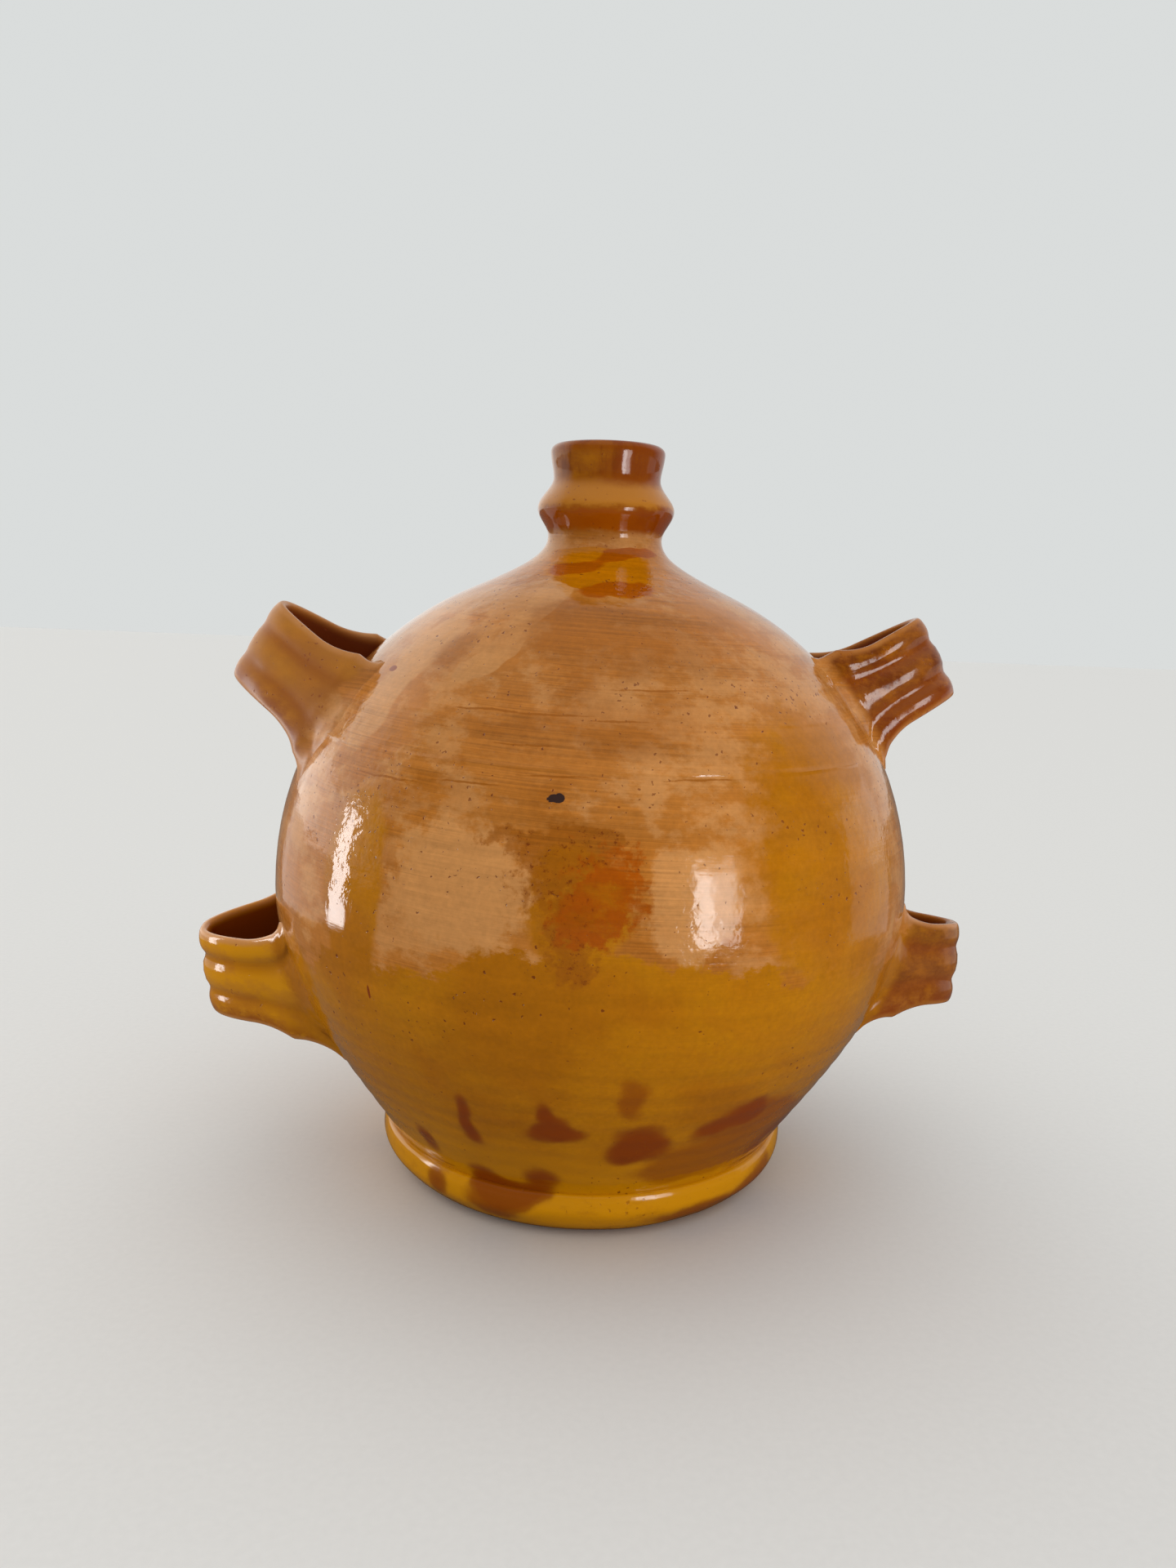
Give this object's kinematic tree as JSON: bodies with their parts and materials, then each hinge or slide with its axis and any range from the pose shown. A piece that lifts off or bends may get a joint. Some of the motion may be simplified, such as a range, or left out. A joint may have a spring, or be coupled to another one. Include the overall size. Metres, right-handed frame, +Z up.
{
  "type": "strap-handled storage jar",
  "caption": "Globular glazed earthenware jar with a flanged foot, a narrow beaded neck and pulled strap loops on its sides for a carrying cord.",
  "frame": {"origin": "centre of the foot's flat underside, on the surface the jar stands on", "axes": "+Z up along the jar's axis, +X towards the right-hand strap loops seen from the front, -Y towards the viewer"},
  "size_m": [0.2986, 0.245, 0.2805],
  "materials": {
    "foot_glaze": "glossy honey lead glaze over slip",
    "lower_bowl_glaze": "glossy honey lead glaze over slip",
    "upper_dome_glaze": "glossy honey lead glaze over slip",
    "neck_glaze": "glossy honey lead glaze over slip",
    "strap_glaze": "glossy honey lead glaze over slip"
  },
  "bodies": {
    "root": {"foot": "foot_glaze", "lower_bowl": "lower_bowl_glaze", "upper_dome": "upper_dome_glaze", "neck": "neck_glaze", "upper_left_strap": "strap_glaze", "upper_right_strap": "strap_glaze", "lower_left_strap": "strap_glaze", "lower_right_strap": "strap_glaze"}
  },
  "joints": []
}
